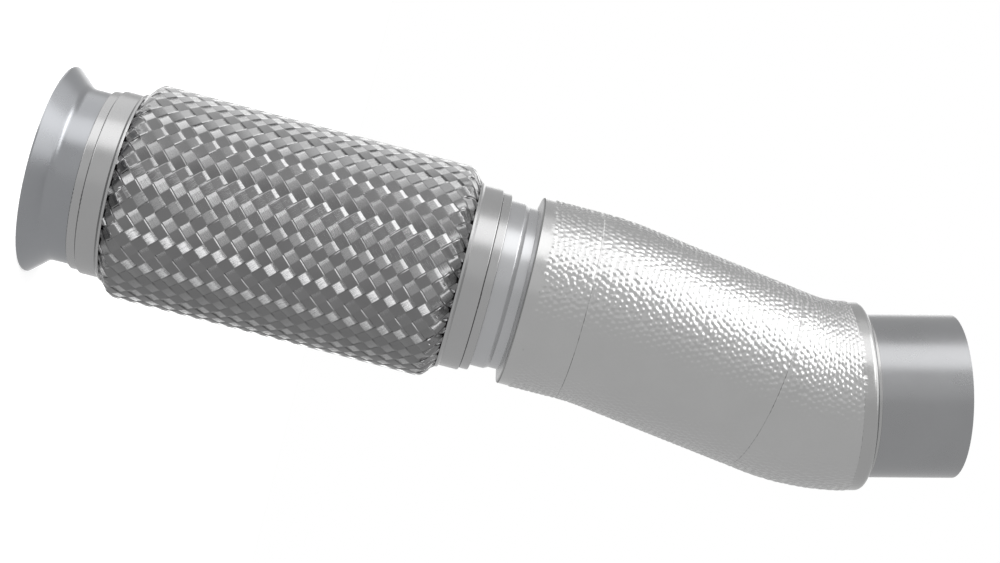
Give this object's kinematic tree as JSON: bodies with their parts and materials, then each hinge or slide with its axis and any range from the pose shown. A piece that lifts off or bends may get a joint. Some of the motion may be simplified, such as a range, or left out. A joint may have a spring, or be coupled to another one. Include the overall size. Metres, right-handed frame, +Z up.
{
  "type": "exhaust flex pipe",
  "caption": "Braided flex pipe for a truck exhaust: flared inlet neck, woven flex section between end caps, and a heat-shielded double bend that ends in a plain tube.",
  "frame": {"origin": "centre of the flared inlet's mouth, in the plane of the rim that it stands on", "axes": "+Z up the axis of the flex section, from the inlet towards the outlet; the pipe bends in the XZ plane, first towards +X and then back towards -X"},
  "size_m": [0.1776, 0.1664, 0.729],
  "materials": {
    "tube_steel": "satin drawn tube",
    "ring_steel": "satin turned ring",
    "cap_steel": "satin pressed sheet",
    "braid_steel": "bright flat wire",
    "bellows_steel": "bright sheet",
    "liner_steel": "satin strip",
    "mat_fibre": "needled mineral fibre mat",
    "shield_foil": "dimpled bright foil with plain margins"
  },
  "bodies": {
    "root": {"inlet_flange": "tube_steel", "inlet_weld_ring": "ring_steel", "inlet_end_cap": "cap_steel", "braid": "braid_steel", "bellows": "bellows_steel", "interlock_liner": "liner_steel", "outlet_end_cap": "cap_steel", "outlet_weld_ring": "ring_steel", "bent_pipe": "tube_steel", "insulation_mat": "mat_fibre", "heat_shield": "shield_foil"}
  },
  "joints": []
}
